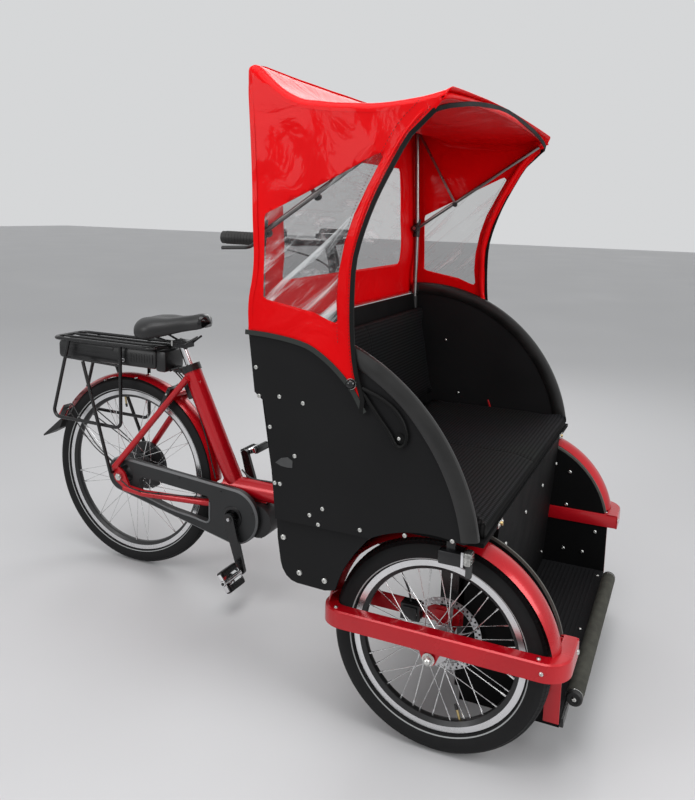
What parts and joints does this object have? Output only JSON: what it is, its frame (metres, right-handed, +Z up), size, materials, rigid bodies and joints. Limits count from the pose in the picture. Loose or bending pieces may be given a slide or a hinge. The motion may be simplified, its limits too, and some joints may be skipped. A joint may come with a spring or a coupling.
{
  "type": "electric passenger tricycle",
  "caption": "Electric tricycle with a steered front bench box under a folding hood, front wheels in guard loops and a driven rear wheel with carrier.",
  "frame": {"origin": "middle of the footprint on the ground, under the middle of the overall length", "axes": "+X forward, +Y to the rider's left, +Z up"},
  "size_m": [1.992, 1.1452, 1.585],
  "materials": {
    "frame_red": "glossy metallic red",
    "black_steel": "satin black",
    "silver_tube": "satin silver",
    "polished_alloy": "polished",
    "bright_steel": "bright",
    "tyre_rubber": "matt",
    "black_rubber": "matt",
    "panel_black": "matt sheet",
    "case_grey": "satin moulded",
    "lamp_lens": "clear lens",
    "rear_lens": "red lens",
    "hood_red": "glossy coated cloth",
    "clear_film": "clear flexible film",
    "seat_cloth": "black textured",
    "saddle_cover": "black",
    "foam_grey": "foam"
  },
  "bodies": {
    "rear_frame_body": {"rear_frame": "frame_red", "rear_axle": "bright_steel", "seat_post": "polished_alloy", "saddle": "saddle_cover", "rear_fender": "frame_red", "mud_flap": "black_rubber", "rear_light": "rear_lens", "rear_rack": "black_steel", "battery": "case_grey", "motor": "case_grey", "chain_case": "case_grey", "rear_brake": "black_steel"},
    "rear_wheel": {"rear_hub": "polished_alloy", "rear_rim": "polished_alloy", "rear_tyre": "tyre_rubber"},
    "crank": {"crankset": "black_steel"},
    "right_pedal_body": {"right_pedal": "black_rubber"},
    "left_pedal_body": {"left_pedal": "black_rubber"},
    "right_wheel": {"right_hub": "polished_alloy", "right_rim": "polished_alloy", "right_tyre": "tyre_rubber"},
    "left_wheel": {"left_hub": "polished_alloy", "left_rim": "polished_alloy", "left_tyre": "tyre_rubber"},
    "front_box": {"back_cushion": "seat_cloth", "back_panel": "panel_black", "brake_levers": "bright_steel", "display": "case_grey", "floor_board": "panel_black", "foot_roller": "foam_grey", "footwell_sides": "panel_black", "front_axles": "bright_steel", "front_calipers": "bright_steel", "front_frame": "black_steel", "grips": "black_rubber", "handlebar": "black_steel", "headlamps": "lamp_lens", "hood_frame": "silver_tube", "hood_shell": "hood_red", "hood_windows": "clear_film", "kick_panel": "panel_black", "left_arch_trim": "black_rubber", "left_fender": "frame_red", "left_guard_loop": "frame_red", "left_side_panel": "panel_black", "right_arch_trim": "black_rubber", "right_fender": "frame_red", "right_guard_loop": "frame_red", "right_side_panel": "panel_black", "seat_board": "panel_black", "seat_cushion": "seat_cloth", "side_skirts": "panel_black"}
  },
  "joints": [
    {"name": "steering", "type": "hinge", "parent": "rear_frame_body", "child": "front_box", "pos_m": [0.556, 0, 0.345], "axis": [0, 0, 1], "range_deg": [-30, 30]},
    {"name": "rear_wheel_spin", "type": "hinge", "parent": "rear_frame_body", "child": "rear_wheel", "pos_m": [-0.594, 0, 0.334], "axis": [0, 1, 0], "continuous": true},
    {"name": "right_wheel_spin", "type": "hinge", "parent": "front_box", "child": "right_wheel", "pos_m": [0.678, -0.472, 0.262], "axis": [0, 1, 0], "continuous": true},
    {"name": "left_wheel_spin", "type": "hinge", "parent": "front_box", "child": "left_wheel", "pos_m": [0.678, 0.472, 0.262], "axis": [0, 1, 0], "continuous": true},
    {"name": "crank_spin", "type": "hinge", "parent": "rear_frame_body", "child": "crank", "pos_m": [-0.151, 0, 0.266], "axis": [0, 1, 0], "continuous": true},
    {"name": "right_pedal_spin", "type": "hinge", "parent": "crank", "child": "right_pedal_body", "pos_m": [-0.10272, -0.148, 0.103], "axis": [0, 1, 0], "continuous": true},
    {"name": "left_pedal_spin", "type": "hinge", "parent": "crank", "child": "left_pedal_body", "pos_m": [-0.19928, 0.148, 0.429], "axis": [0, 1, 0], "continuous": true}
  ]
}
